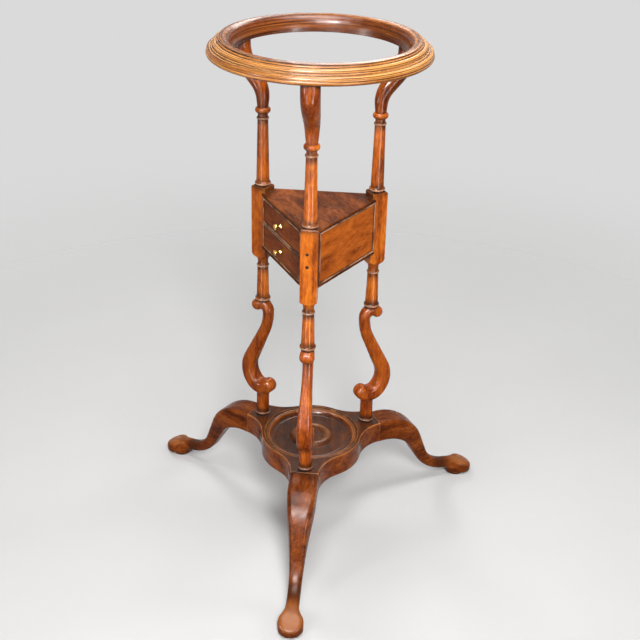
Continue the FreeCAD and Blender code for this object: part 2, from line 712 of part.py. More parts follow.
def base_platform():
    """The platform: a round board with three ears, a turned dish, and sockets for pegs and legs."""
    body = new_body("base_platform")
    half = "(leg_root_width / 2)"
    hollow = f"((platform_reach^2 + {half}^2 - platform_waist^2) / (2 * (platform_waist - {half})))"
    meeting = f"(atan(({half} + {hollow}) / platform_reach) / 1 deg)"
    path = []
    for turn in (0, 120, 240):
        for side in (-1, 1):
            centre = turned(("platform_reach", f"{side} * ({half} + {hollow})"), turn)
            corner = turned(("platform_reach", f"{side} * {half}"), turn)
            rim = around(("0", "0"), "platform_waist", f"{turn} + {side} * {meeting}")
            hollow_middle = around(centre, hollow, f"{turn} + {side} * ({meeting} - 270) / 2")
            if side < 0:
                path += [around(("0", "0"), "platform_waist", f"{turn - 60}") + rim, hollow_middle + corner]
            else:
                path += [corner, hollow_middle + rim]
    pad(body, "board", path, "platform_thickness", base=("0", "0", "-platform_thickness"))

    def curved_top(edge):
        return isinstance(edge.Curve, Part.Circle) and at_height(edge, 0)

    dress(body, "Fillet", "top_edges", curved_top, "platform_edge_round")
    well_floor = "(dish_boss_rise - dish_depth - dish_well_depth)"
    bead_foot = ("dish_radius - dish_bead_width", "-dish_quirk_depth")
    bead_rim = ("dish_radius", "-dish_quirk_depth")
    above = "dish_depth"
    revolve(body, "dish", [
        ("0", above),
        ("0", well_floor),
        ("dish_well_radius", well_floor),
        bulge(("dish_well_radius", well_floor), ("dish_boss_radius", "-dish_depth"), "dish_boss_rise"),
        ("dish_floor_radius", "-dish_depth"),
        bulge(("dish_floor_radius", "-dish_depth"), bead_foot, "-dish_cove"),
        bulge(bead_foot, bead_rim, "dish_bead_rise"),
        ("dish_radius", above),
    ], kind="Groove")
    peg_hole = bore(body, "peg_socket", "peg_tenon_radius + joint_clearance",
                    "peg_tenon_length + joint_clearance", ("post_circle_radius", "0", "0"), (0, 0, -1))
    three_times(body, "peg_sockets", [peg_hole])
    key_hole = cut(body, "leg_socket", dovetail("joint_clearance"), "dovetail_height + joint_clearance",
                   base=("0", "0", "-platform_thickness"), upward=True)
    three_times(body, "leg_sockets", [key_hole])
    place(body, POST_ANGLES["rear"], height="platform_top")


def ogee(start, end):
    """Two equal arcs from point to point, which both set off and arrive along the first axis."""
    run = f"(({end[0]}) - ({start[0]}))"
    rise = f"(({end[1]}) - ({start[1]}))"
    radius = f"(({run}^2 + {rise}^2) / (4 * {rise}))"
    turn = f"(2 * atan({rise} / {run}) / 1 deg)"
    first = (start[0], f"({start[1]} + {radius})")
    second = (end[0], f"({end[1]} - {radius})")
    return [sweep(first, radius, "-90", f"{turn} - 90"), sweep(second, radius, f"{turn} + 90", "90")]


def mirrored(step):
    """A step on the other side of the first axis."""
    return tuple(f"-({text})" if index % 2 else text for index, text in enumerate(step))


def backwards(start, steps):
    """The same steps from their end to their start."""
    corners = [start] + [step[-2:] for step in steps]
    return [step[:-2] + corner for step, corner in zip(reversed(steps), reversed(corners[:-1]))]


# The side view of a leg: level root, knee bend down, straight shin, ankle bend out again. The upper edge
# bends more than the lower one, which tapers the leg. The blank starts inside the platform and is cut off
# at the end of its ear.
LEG_EDGES = {
    "upper": ("(platform_top - leg_drop)", "+"),
    "lower": ("(platform_top - leg_root_depth)", "-"),
}
LEG_HEADING = "(ankle_turn - knee_turn)"
LEG_START = "(platform_reach - leg_root_width)"
KNEE_START = "(foot_centre_radius - knee_start)"
KNEE_WIDTH_END = "(platform_reach + knee_width_end)"
ANKLE_START = "(foot_centre_radius - ankle_start)"


def leg_edge(edge):
    """The steps of one edge of a leg's side view, from the knee to the ankle."""
    level, side = LEG_EDGES[edge]
    other_side = "-" if side == "+" else "+"
    knee_radius = f"(knee_radius {side} knee_spread)"
    ankle_radius = f"(ankle_radius {other_side} ankle_spread)"
    turn = f"(knee_turn {side} leg_taper)"
    knee = (KNEE_START, f"({level} - {knee_radius})")
    knee_end = around(knee, knee_radius, f"90 - {turn}")
    shin_end = (f"({knee_end[0]} + shin_length * cos({turn} * 1 deg))",
                f"({knee_end[1]} - shin_length * sin({turn} * 1 deg))")
    ankle = around(shin_end, ankle_radius, f"90 - {turn}")
    return [
        (KNEE_START, level),
        sweep(knee, knee_radius, "90", f"90 - {turn}"),
        shin_end,
        sweep(ankle, ankle_radius, f"270 - {turn}", f"270 + {LEG_HEADING}"),
    ]


def leg_side_view():
    """The outline of leg and foot from the side: a cove under the heel, a flat sole and a low crown."""
    upper, lower = leg_edge("upper"), leg_edge("lower")
    heel = around(lower[-1][-2:], "heel_radius", f"270 + {LEG_HEADING}")
    heel_angle = f"(asin((pad_height - {heel[1]}) / heel_radius) / 1 deg)"
    crown = around(upper[-1][-2:], "foot_crown_radius", f"270 + {LEG_HEADING}")
    toe_angle = f"(90 + {LEG_HEADING} - foot_crown_turn)"
    toe = around(crown, "foot_crown_radius", toe_angle)
    path = [(LEG_START, LEG_EDGES["lower"][0])]
    path += lower
    path.append(sweep(heel, "heel_radius", f"90 + {LEG_HEADING}", heel_angle))
    path += [(toe[0], "pad_height"), toe]
    path.append(sweep(crown, "foot_crown_radius", toe_angle, f"90 + {LEG_HEADING}"))
    return path + backwards((LEG_START, LEG_EDGES["upper"][0]), upper)


def leg_plan():
    """The outline of leg and foot from above: it narrows to the ankle and swells to a round pad foot."""
    root, ankle = "(leg_root_width / 2)", "(ankle_width / 2)"
    flare_height = f"({ankle} + foot_flare_radius)"
    flare_reach = f"sqrt((foot_flare_radius + foot_radius)^2 - {flare_height}^2)"
    flare = (f"(foot_centre_radius - {flare_reach})", flare_height)
    flare_end = f"(-acos({flare_reach} / (foot_flare_radius + foot_radius)) / 1 deg)"
    right = [
        (LEG_START, root),
        (KNEE_WIDTH_END, root),
        *ogee((KNEE_WIDTH_END, root), (ANKLE_START, ankle)),
        (flare[0], ankle),
        sweep(flare, "foot_flare_radius", "-90", flare_end),
    ]
    left = [mirrored(step) for step in right]
    toe = ("foot_centre_radius + foot_radius", "0")
    return right + [toe + left[-1][-2:]] + backwards(left[0], left[1:])


def leg(side):
    """A cabriole leg, sawn to a side view and a plan and then rounded, with its pad and dovetail key."""
    body = new_body(f"{side}_leg")
    template = doc.addObject("PartDesign::Body", f"{side}_leg_template")
    pad(body, "side_view", leg_side_view(), "2 * leg_root_width", plane="XZ_Plane",
        base=("0", "0", "-leg_root_width"))
    pad(template, "plan", leg_plan(), "2 * platform_top", base=("0", "0", "-platform_top / 2"))
    sawn = body.newObject("PartDesign::Boolean", "sawn")
    sawn.Type = "Common"
    sawn.addObjects([template])
    body.Tip = sawn
    inside_start = f"2 * {LEG_START} - platform_reach"
    inside = rectangle(inside_start, "-leg_root_width", "platform_reach", "leg_root_width")
    cut(body, "shoulder", inside, "2 * platform_top", base=("0", "0", "2 * platform_top"))

    def corner(edge):
        square_to_radius = edge.BoundBox.XLength < TINY
        on_sole = at_height(edge, value("pad_height"))
        return not (square_to_radius or on_sole)

    dress(body, "Fillet", "rounding", corner, "min(leg_rounding; 0.4 * ankle_width)")
    pad_centre = ("foot_centre_radius - pad_inset", "0")
    sole = circle_sketch(body, "pad_outline", "XY_Plane", "pad_radius", pad_centre)
    feature(body, "Pad", "sole_pad", sole, Length="pad_height")
    pad(body, "key", dovetail("0"), "dovetail_height", base=("0", "0", "platform_top - platform_thickness"))
    place(body, POST_ANGLES[side])


def box_board(label, height):
    """A three-cornered board with rounded edges, notched round the blocks of the posts."""
    body = new_body(label)
    edge_distance = f"({BOX_FACE} + board_overhang)"
    corner = (f"2 * {edge_distance}", "0")
    pad(body, "board", [turned(corner, turn) for turn in (0, 120, 240)], "board_thickness")

    def nosing(edge):
        middle = edge.valueAt((edge.FirstParameter + edge.LastParameter) / 2)
        level = at_height(edge, 0) or at_height(edge, value("board_thickness"))
        return level and abs(math.hypot(middle.x, middle.y) - value(edge_distance)) < TINY

    dress(body, "Fillet", "nosing", nosing, "board_nosing")
    half = "(block_width / 2 + joint_clearance)"
    notch_path = rectangle(f"{BLOCK_INNER_FACE} - joint_clearance", f"-{half}", f"3 * {edge_distance}", half)
    notch = cut(body, "block_notch", notch_path, "board_thickness", base=("0", "0", "board_thickness"))
    three_times(body, "block_notches", [notch])
    place(body, POST_ANGLES["rear"], height=height)


# A closed side of the box, drawn facing -Y: half lengths of a panel at its face, at a block's corner and
# inside.
PANEL_FACE_END = f"({CORNER_ALONG} + box_face_proud / tan(30 deg) - joint_clearance)"
PANEL_CORNER_END = f"({CORNER_ALONG} - joint_clearance)"
PANEL_INNER_END = f"({CORNER_ALONG} + ({CORNER_OUT} - {PANEL_INNER_FACE}) * tan(30 deg) - joint_clearance)"


def side_panel(side):
    """A closed side of the box: it laps the inner corner of each block, with a groove for the divider."""
    body = new_body(f"{side}_side_panel")
    right_end = [(PANEL_FACE_END, f"-{BOX_FACE}"), (PANEL_CORNER_END, f"-{CORNER_OUT}"),
                 (PANEL_INNER_END, f"-{PANEL_INNER_FACE}")]
    left_end = [(f"-{along}", out) for along, out in reversed(right_end)]
    pad(body, "board", right_end + left_end, BOX_OPENING)
    groove = rectangle(f"-2 * {PANEL_INNER_END}", f"-{PANEL_INNER_FACE} - divider_groove_depth",
                       f"2 * {PANEL_INNER_END}", "0")
    groove_head = f"({BOX_OPENING} + divider_thickness) / 2 + joint_clearance"
    groove_width = "divider_thickness + 2 * joint_clearance"
    cut(body, "divider_groove", groove, groove_width, base=("0", "0", groove_head))
    place(body, PANEL_TURNS[side], height=BOX_FLOOR)


def frame_strip(body, half_length, height, width, back, front):
    """A strip round a rectangle, between two distances out from the axis. Returns its front edges' test."""
    outer = rectangle(f"-{half_length}", "0", half_length, height)
    inner = rectangle(f"-{half_length} + {width}", width, f"{half_length} - {width}", f"{height} - {width}")
    depth = f"{front} - {back}"
    pad(body, "strip", outer, depth, plane="XZ_Plane", base=("0", "0", back))
    cut(body, "opening", inner, depth, plane="XZ_Plane", base=("0", "0", front))

    def front_edge(edge):
        box = edge.BoundBox
        return abs(box.YMin + value(front)) < TINY and abs(box.YMax + value(front)) < TINY

    return front_edge


def panel_bead(side):
    """A bead that frames the face of a side panel."""
    body = new_body(f"{side}_panel_bead")
    face = f"({BOX_FACE} + panel_bead_proud)"
    front_edge = frame_strip(body, PANEL_FACE_END, BOX_OPENING, "panel_bead_width", BOX_FACE, face)
    dress(body, "Fillet", "bead_round", front_edge, "panel_bead_round")
    place(body, PANEL_TURNS[side], height=BOX_FLOOR)


# Drawers: half width of a front, its height, and the places of its inner face and of the drawer's back.
DRAWER_HALF = f"({CORNER_ALONG} - drawer_gap)"
FRONT_HEIGHT = f"(({BOX_OPENING} - 3 * drawer_gap) / 2)"
FRONT_INNER = f"(drawer_front_thickness - {BOX_FACE})"
DRAWER_BACK = f"(drawer_depth - {BOX_FACE})"
DIVIDER_FOOT = f"({BOX_FLOOR} + ({BOX_OPENING} - divider_thickness) / 2)"
DRAWER_FLOORS = {
    "lower": f"({BOX_FLOOR} + running_clearance)",
    "upper": f"({DIVIDER_FOOT} + divider_thickness + running_clearance)",
}
FRONT_FEET = {
    "lower": f"({BOX_FLOOR} + drawer_gap)",
    "upper": f"({BOX_FLOOR} + 2 * drawer_gap + {FRONT_HEIGHT})",
}


def panel_line(distance, out):
    """Where a line parallel to a side panel crosses a distance behind the stand's axis."""
    return f"(({distance} - ({out}) * sin(30 deg)) / cos(30 deg))"


def drawer_divider():
    """The shelf between the drawers: it slides in the grooves of the panels, between guides and stop."""
    body = new_body("drawer_divider")
    groove = f"({PANEL_INNER_FACE} + divider_groove_depth - joint_clearance)"
    front, half = f"({FRONT_INNER} + drawer_gap)", f"({CORNER_ALONG} - joint_clearance)"
    shoulder = f"(({groove} - {half} * cos(30 deg)) / sin(30 deg))"
    back = panel_line(groove, DRAWER_BACK)
    right = [(half, front), (half, shoulder), (back, DRAWER_BACK)]
    left = [(f"-{along}", out) for along, out in reversed(right)]
    pad(body, "board", right + left, "divider_thickness")
    place(body, height=DIVIDER_FOOT)


def drawer_guide(side):
    """A three-cornered strip in a front corner of the box, which the drawers run against."""
    body = new_body(f"{side}_drawer_guide")
    sign, heading = (1, POST_ANGLES["right"]) if side == "right" else (-1, POST_ANGLES["left"])
    block_face = f"({BLOCK_INNER_FACE} - joint_clearance)"
    panel_face = f"({PANEL_INNER_FACE} - joint_clearance)"
    corners = [
        (CORNER_ALONG, f"({CORNER_ALONG} * cos(30 deg) - {block_face}) / sin(30 deg)"),
        (f"({block_face} + {panel_face}) / (2 * cos(30 deg))", f"({panel_face} - {block_face})"),
        (CORNER_ALONG, f"({panel_face} - {CORNER_ALONG} * cos(30 deg)) / sin(30 deg)"),
    ]
    pad(body, "strip", [(f"{sign} * ({along})", out) for along, out in corners], BOX_OPENING)
    direction = (-math.cos(math.radians(heading)), -math.sin(math.radians(heading)), 0)
    for index, level in enumerate(PIN_LEVELS):
        x, y = turned((BLOCK_INNER_FACE, PIN_SHIFTS[side]), heading)
        start = (x, y, f"{COLUMN_FOOT} + lower_column_length + {level} - {BOX_FLOOR}")
        bore(body, f"pin_hole_{index}", "pin_radius + joint_clearance", "pin_depth + joint_clearance", start,
             direction)
    place(body, height=BOX_FLOOR)


def drawer_stop():
    """The block in the rear corner of the box that the drawers close against."""
    body = new_body("drawer_stop")
    panel_face = f"({PANEL_INNER_FACE} - joint_clearance)"
    front = f"({DRAWER_BACK} + running_clearance)"
    back = f"({front} + drawer_stop_length)"
    right = [(panel_line(panel_face, front), front), (panel_line(panel_face, back), back)]
    left = [(f"-{along}", out) for along, out in reversed(right)]
    pad(body, "block", right + left, BOX_OPENING)
    place(body, height=BOX_FLOOR)


def panel_pins():
    """Pins driven through the front blocks into the drawer guides."""
    pins = []
    for side, shift in PIN_SHIFTS.items():
        heading = POST_ANGLES[side]
        inward = FreeCAD.Vector(-math.cos(math.radians(heading)), -math.sin(math.radians(heading)), 0)
        for index, level in enumerate(PIN_LEVELS):
            pin = doc.addObject("Part::Cylinder", f"{side}_pin_{index}")
            pin.setExpression("Radius", formula("pin_radius"))
            pin.setExpression("Height", formula("block_width + pin_depth"))
            turn = FreeCAD.Rotation(FreeCAD.Vector(0, 0, 1), inward)
            pin.Placement = FreeCAD.Placement(FreeCAD.Vector(), turn)
            x, y = turned(("post_circle_radius + block_width / 2", shift), heading)
            for axis, text in zip("xyz", (x, y, f"{COLUMN_FOOT} + lower_column_length + {level}")):
                pin.setExpression(f"Placement.Base.{axis}", formula(text))
            pins.append(pin)
    group = doc.addObject("Part::Compound", "panel_pins")
    group.Label = "panel_pins"
    group.Links = pins
    SUBPARTS.append(group)


def drawer_front(level):
    """A drawer front: a rebated board with a hole for the knob's shank."""
    body = new_body(f"{level}_drawer_front")
    pad(body, "board", rectangle(f"-{DRAWER_HALF}", "0", DRAWER_HALF, FRONT_HEIGHT),
        "drawer_front_thickness - drawer_bead_depth", plane="XZ_Plane", base=("0", "0", f"-{FRONT_INNER}"))
    rebate = "(drawer_bead_width + joint_clearance)"
    field_half = f"({DRAWER_HALF} - {rebate})"
    field = rectangle(f"-{field_half}", rebate, field_half, f"{FRONT_HEIGHT} - {rebate}")
    pad(body, "field", field, "drawer_bead_depth", plane="XZ_Plane",
        base=("0", "0", f"{BOX_FACE} - drawer_bead_depth"))
    bore(body, "knob_hole", "knob_shank_radius + joint_clearance", "knob_shank_length + joint_clearance",
         ("0", f"-{BOX_FACE}", f"{FRONT_HEIGHT} / 2"), (0, 1, 0))
    place(body, height=FRONT_FEET[level])


def drawer_bead(level):
    """The cock bead let into the rebate of a drawer front."""
    body = new_body(f"{level}_drawer_bead")
    front = f"({BOX_FACE} + drawer_bead_proud)"
    front_edge = frame_strip(body, DRAWER_HALF, FRONT_HEIGHT, "drawer_bead_width",
                             f"({BOX_FACE} - drawer_bead_depth)", front)
    dress(body, "Fillet", "bead_round", front_edge, "drawer_bead_round")
    place(body, height=FRONT_FEET[level])


def drawer_lining(level):
    """The inside of a drawer, which narrows to the back: bottom, two sides and a back."""
    half_back = "(drawer_back_width / 2)"
    slope = f"(({DRAWER_HALF} - {half_back}) / ({DRAWER_BACK} - {FRONT_INNER}))"
    wall = f"(drawer_lining_thickness * sqrt(1 + {slope}^2))"
    bottom = new_body(f"{level}_drawer_bottom")
    tray = [(f"-{DRAWER_HALF}", FRONT_INNER), (DRAWER_HALF, FRONT_INNER), (half_back, DRAWER_BACK),
            (f"-{half_back}", DRAWER_BACK)]
    pad(bottom, "board", tray, "drawer_bottom_thickness")
    place(bottom, height=DRAWER_FLOORS[level])
    foot = f"{DRAWER_FLOORS[level]} + drawer_bottom_thickness"
    for side, sign in (("right", 1), ("left", -1)):
        body = new_body(f"{level}_drawer_{side}_side")
        outer = [(DRAWER_HALF, FRONT_INNER), (half_back, DRAWER_BACK)]
        inner = [(f"{half_back} - {wall}", DRAWER_BACK), (f"{DRAWER_HALF} - {wall}", FRONT_INNER)]
        corners = [(f"{sign} * ({along})", out) for along, out in outer + inner]
        pad(body, "board", corners, "drawer_lining_height")
        place(body, height=foot)
    back = new_body(f"{level}_drawer_back")
    half_inner = f"({half_back} - {wall})"
    back_front = f"({DRAWER_BACK} - drawer_lining_thickness)"
    half_outer = f"({half_inner} + drawer_lining_thickness * {slope})"
    pad(back, "board", [(f"-{half_outer}", back_front), (half_outer, back_front), (half_inner, DRAWER_BACK),
                        (f"-{half_inner}", DRAWER_BACK)], "drawer_lining_height")
    place(back, height=foot)


def drawer_knob(level):
    """A turned brass knob, waisted like a spool, with a shank into the drawer front."""
    body = new_body(f"{level}_drawer_knob")
    base = ("knob_base_radius", "-knob_base_length")
    head = ("knob_head_radius", "-(knob_length - knob_head_length)")
    rim = ("knob_head_radius", "-(knob_length - knob_dome)")
    tip = ("0", "-knob_length")
    revolve(body, "spool", [
        ("0", "knob_shank_length"),
        ("knob_shank_radius", "knob_shank_length"),
        ("knob_shank_radius", "0"),
        ("knob_base_radius", "0"),
        base,
        bulge(base, head, "-knob_waist_hollow"),
        rim,
        bulge(rim, tip, "knob_dome / 4"),
    ], plane="XY_Plane")
    place(body, 0, BOX_FACE, f"{FRONT_FEET[level]} + {FRONT_HEIGHT} / 2", direction=-90)


basin_ring()
for post in POST_ANGLES:
    arm(post)
    column(post)
    scroll(post)
    peg(post)
    leg(post)
base_platform()
box_board("box_top_board", f"{BOX_TOP} - board_thickness")
box_board("box_bottom_board", f"{BOX_FLOOR} - board_thickness")
for closed_side in PANEL_TURNS:
    side_panel(closed_side)
    panel_bead(closed_side)
    drawer_guide(closed_side)
drawer_divider()
drawer_stop()
panel_pins()
for drawer in ("upper", "lower"):
    drawer_front(drawer)
    drawer_bead(drawer)
    drawer_lining(drawer)
    drawer_knob(drawer)
doc.recompute()

failed = [thing.Name for thing in doc.Objects if {"Invalid", "Error"} & set(thing.State)]
failed += [thing.Label for thing in SUBPARTS if not (thing.Shape.Solids and thing.Shape.isValid())]
if failed:
    raise SystemExit(f"Not built: {', '.join(failed)}")

os.makedirs("parts", exist_ok=True)
for subpart in SUBPARTS:
    subpart.Shape.exportStep(f"parts/{subpart.Label}.step")
    print(f"{subpart.Label}: {len(subpart.Shape.Solids)} solid, {subpart.Shape.Volume / 1000:.2f} cm3")
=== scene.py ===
"""The looks of the basin stand: a finish for every CAD piece, a plain studio and the photograph's camera.

Lengths are in metres, in the CAD model's frame: Z is the stand's axis, the drawers face -Y.
"""

import math

import bpy
from mathutils import Matrix, Vector


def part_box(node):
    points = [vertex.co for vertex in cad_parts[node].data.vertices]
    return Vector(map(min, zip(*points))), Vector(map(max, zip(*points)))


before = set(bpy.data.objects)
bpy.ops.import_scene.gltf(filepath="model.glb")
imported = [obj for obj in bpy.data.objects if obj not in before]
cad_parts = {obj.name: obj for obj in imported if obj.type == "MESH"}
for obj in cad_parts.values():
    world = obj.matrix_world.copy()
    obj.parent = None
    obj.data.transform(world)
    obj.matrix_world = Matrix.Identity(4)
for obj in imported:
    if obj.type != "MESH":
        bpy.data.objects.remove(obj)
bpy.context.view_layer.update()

# Headings of the posts and of the closed sides of the box, in degrees from +X towards +Y.
SIDES = {"left": -150, "right": -30, "rear": 90}
PANELS = {"right": 30, "left": 150}
LEVELS = ("upper", "lower")

# The photograph's camera, worked out from the stand's three-fold symmetry. Angles are in degrees, and the
# sensor's width is in millimetres.
CAMERA_TURN = 64.7
CAMERA_DISTANCE = 1.5787
CAMERA_HEIGHT = 1.2124
CAMERA_AIM_HEIGHT = 0.3719
CAMERA_ROLL = 1.336
IMAGE_SIDE = 640
FOCAL_PIXELS = 1142
CENTRE_PIXEL = (314, 317)
SENSOR_WIDTH = 36

# Rays that a finish sends out from each spot to find crevices and edges.
PROBE_RAYS = 6
# Detail of the noise behind uneven patches.
PATCH_DETAIL = 4
# Sockets of a mix node that take and give colours.
COLOUR_INPUTS = (6, 7)
COLOUR_OUTPUT = 2
# How far the rounded normal agrees with the true one where an edge begins, and where it is full.
EDGE_AGREEMENT = (0.995, 0.86)


class Finish:
    """A material in the making: short calls that add nodes and give back their output sockets."""

    def __init__(self, name):
        self.material = bpy.data.materials.new(name)
        self.material.use_nodes = True
        self.tree = self.material.node_tree
        self.shader = next(node for node in self.tree.nodes if node.type == "BSDF_PRINCIPLED")
        self.place = self.node("ShaderNodeTexCoord").outputs["Object"]
        self.normal = self.node("ShaderNodeNewGeometry").outputs["Normal"]

    def node(self, kind, **settings):
        made = self.tree.nodes.new(kind)
        for key, setting in settings.items():
            setattr(made, key, setting)
        return made

    def feed(self, socket, source):
        """Links an input to an output, or sets it to a constant."""
        if isinstance(source, bpy.types.NodeSocket):
            self.tree.links.new(source, socket)
        else:
            socket.default_value = source

    def set(self, **inputs):
        """Sets or links inputs of the shader, named with underscores for spaces."""
        for name, source in inputs.items():
            self.feed(self.shader.inputs[name.replace("_", " ")], source)

    def math(self, operation, first, second=0.0, clamp=False):
        made = self.node("ShaderNodeMath", operation=operation, use_clamp=clamp)
        self.feed(made.inputs[0], first)
        self.feed(made.inputs[1], second)
        return made.outputs[0]

    def plus(self, total, *others):
        for other in others:
            total = self.math("ADD", total, other)
        return total

    def times(self, product, *others):
        for other in others:
            product = self.math("MULTIPLY", product, other)
        return product

    def greater(self, first, second):
        return self.math("MAXIMUM", first, second)

    def parts(self, vector):
        """The three parts of a vector."""
        made = self.node("ShaderNodeSeparateXYZ")
        self.feed(made.inputs[0], vector)
        return made.outputs

    def height(self):
        """The height above the floor."""
        return self.parts(self.place)[2]

    def slope(self):
        """How far a spot faces up, from -1 on an underside to 1 on a top."""
        return self.parts(self.normal)[2]

    def from_axis(self):
        """The distance from the stand's axis."""
        x, y = self.parts(self.place)[:2]
        return self.math("SQRT", self.plus(self.times(x, x), self.times(y, y)))

    def join(self, x, y, z):
        """A vector from its three parts."""
        made = self.node("ShaderNodeCombineXYZ")
        for socket, source in zip(made.inputs, (x, y, z)):
            self.feed(socket, source)
        return made.outputs[0]

    def mapped(self, vector, scale=(1, 1, 1), turn=(0, 0, 0), shift=(0, 0, 0)):
        """A vector scaled, then turned by degrees, then shifted."""
        made = self.node("ShaderNodeMapping")
        self.feed(made.inputs["Vector"], vector)
        made.inputs["Scale"].default_value = scale
        made.inputs["Rotation"].default_value = [math.radians(angle) for angle in turn]
        made.inputs["Location"].default_value = shift
        return made.outputs[0]

    def noise(self, vector, scale=1.0, detail=3.0, roughness=0.55, distortion=0.0):
        made = self.node("ShaderNodeTexNoise")
        self.feed(made.inputs["Vector"], vector)
        made.inputs["Scale"].default_value = scale
        made.inputs["Detail"].default_value = detail
        made.inputs["Roughness"].default_value = roughness
        made.inputs["Distortion"].default_value = distortion
        return made.outputs[0]

    def between(self, source, first, last, start=0.0, end=1.0):
        """A smooth change from start to end as a source goes from its first level to its last."""
        made = self.node("ShaderNodeMapRange", interpolation_type="SMOOTHSTEP")
        for socket, number in zip(made.inputs, (source, first, last, start, end)):
            self.feed(socket, number)
        return made.outputs[0]

    def near(self, source, place, full, gone, strength):
        """The strength where a source is within one distance of a place, and 0 from another distance on."""
        away = self.math("ABSOLUTE", self.math("SUBTRACT", source, place))
        return self.between(away, full, gone, strength, 0.0)

    def patches(self, scale, *levels):
        """Uneven patches, so many to the metre, from a noise taken between levels."""
        return self.between(self.noise(self.place, scale, PATCH_DETAIL), *levels)

    def ramp(self, factor, *stops):
        """A colour for each factor, from pairs of place and colour."""
        made = self.node("ShaderNodeValToRGB")
        elements = made.color_ramp.elements
        while len(elements) < len(stops):
            elements.new(1.0)
        for element, (place, colour) in zip(elements, stops):
            element.position = place
            element.color = (*colour, 1.0)
        self.feed(made.inputs[0], factor)
        return made.outputs[0]

    def mix(self, factor, first, second, blend="MIX"):
        """The first colour at factor 0, and the second, or its blend with the first, at 1."""
        made = self.node("ShaderNodeMix", data_type="RGBA", blend_type=blend)
        self.feed(made.inputs["Factor"], factor)
        for number, colour in zip(COLOUR_INPUTS, (first, second)):
            linked = isinstance(colour, bpy.types.NodeSocket)
            self.feed(made.inputs[number], colour if linked else (*colour, 1.0))
        return made.outputs[COLOUR_OUTPUT]

    def crevice(self, distance):
        """How hidden a spot is among the surfaces around it, from 0 in the open to 1."""
        made = self.node("ShaderNodeAmbientOcclusion", samples=PROBE_RAYS)
        made.inputs["Distance"].default_value = distance
        return self.math("SUBTRACT", 1.0, made.outputs["AO"], clamp=True)

    def soft_normal(self, radius):
        """The normal, rounded across sharp edges."""
        made = self.node("ShaderNodeBevel", samples=PROBE_RAYS)
        made.inputs["Radius"].default_value = radius
        return made.outputs[0]

    def edge(self, radius):
        """How near a spot is to a sharp edge, from 0 on a flat to 1."""
        made = self.node("ShaderNodeVectorMath", operation="DOT_PRODUCT")
        self.feed(made.inputs[0], self.soft_normal(radius))
        self.feed(made.inputs[1], self.normal)
        return self.between(made.outputs["Value"], *EDGE_AGREEMENT)

    def bump(self, height, distance, normal=None):
        """The normal of a surface raised by a height times a distance."""
        made = self.node("ShaderNodeBump")
        made.inputs["Distance"].default_value = distance
        self.feed(made.inputs["Height"], height)
        if normal is not None:
            self.feed(made.inputs["Normal"], normal)
        return made.outputs[0]


# Mahogany colours, each from deep grain to light.
POSTS = ((0.160, 0.026, 0.003), (0.500, 0.106, 0.007), (0.740, 0.205, 0.016))
SCROLLS = ((0.110, 0.016, 0.002), (0.335, 0.062, 0.004), (0.510, 0.122, 0.010))
REEDS = ((0.112, 0.030, 0.006), (0.410, 0.140, 0.027), (0.680, 0.310, 0.082))
BOARDS = ((0.050, 0.012, 0.003), (0.130, 0.032, 0.007), (0.250, 0.068, 0.015))
FRONTS = ((0.085, 0.016, 0.003), (0.195, 0.041, 0.006), (0.310, 0.074, 0.011))
PANEL_FACES = ((0.200, 0.039, 0.003), (0.420, 0.088, 0.007), (0.580, 0.142, 0.014))
BEADS = ((0.030, 0.010, 0.004), (0.090, 0.028, 0.010), (0.180, 0.060, 0.020))
BASE = ((0.055, 0.010, 0.002), (0.160, 0.033, 0.004), (0.290, 0.072, 0.011))
# Painted light and shade: how light the timber of each post is painted, darker on the left post and lighter on
# the right one, as the light falls.
POST_LIGHT_AND_SHADE = {"left": 0.74, "right": 1.06, "rear": 0.95}

# Colours that lie over the mahogany. The throat's colour is multiplied in.
# The darkest colour: of dents and grime, and of painted shade in crevices.
GRIME_AND_SHADE = (0.010, 0.005, 0.003)
# Grey of dust and of a painted sheen on upper faces.
DUST_AND_SHEEN_GREY = (0.028, 0.015, 0.009)
WORN = (0.480, 0.230, 0.080)
# Pale bare wood, which also serves as a painted highlight on crests.
BARE_AND_HIGHLIGHT = (0.560, 0.310, 0.190)
# Dark brown: of polish and painted shade about beads, of lines in the reeds and of a leg's ankle.
DARK_BROWN = (0.040, 0.012, 0.004)
THROAT = (0.46, 0.30, 0.20)
# Rubbed wood with a painted highlight on a foot's crown.
HANDLED_AND_HIGHLIT_FOOT = (0.290, 0.095, 0.024)
# Rubbed wood, and on the dish's crests a painted highlight as well.
RUBBED_AND_HIGHLIGHT = (0.460, 0.150, 0.032)

OAK_COLOURS = ((0.16, 0.085, 0.036), (0.40, 0.245, 0.115))
OAK_RAY_COLOUR = (0.47, 0.31, 0.16)
OAK_PORE_COLOUR = (0.07, 0.035, 0.016)
BRASS_COLOURS = ((0.48, 0.27, 0.06), (0.68, 0.46, 0.14))
BRASS_WAIST = (0.10, 0.05, 0.015)

# Noises along the grain: cells to the metre along and across it, then detail, roughness and distortion.
BANDS = (5, 75, 4, 0.55, 0.5)
FLECKS = (85, 340, 3, 0.6, 0.0)
CLOUDS = (15, 34, 4, 0.6, 0.7)
PORES = (110, 1900, 2, 0.55, 0.0)
REED_LINES = (6, 560, 2, 0.55, 0.0)
OAK_RINGS = (5, 160, 4, 0.6, 0.6)
OAK_PORES = (60, 1500, 2, 0.55, 0.0)
OAK_RAYS = (160, 300, 1, 0.55, 0.0)
# Noises with no direction: cells to the metre, then detail and roughness where it isn't the usual.
STAINS = (38, 5, 0.65)
DENTS = (130, 2)
LUMPS = (40, 1)
BRASS_CLOUDS = (260, 4)
# Noise values that take the ends of a range of colour or polish.
NOISE_ENDS = (0.3, 0.7)

# How a seed moves a piece along and across the timber.
SEED_SHIFT = (1.0, 0.31, -0.57)
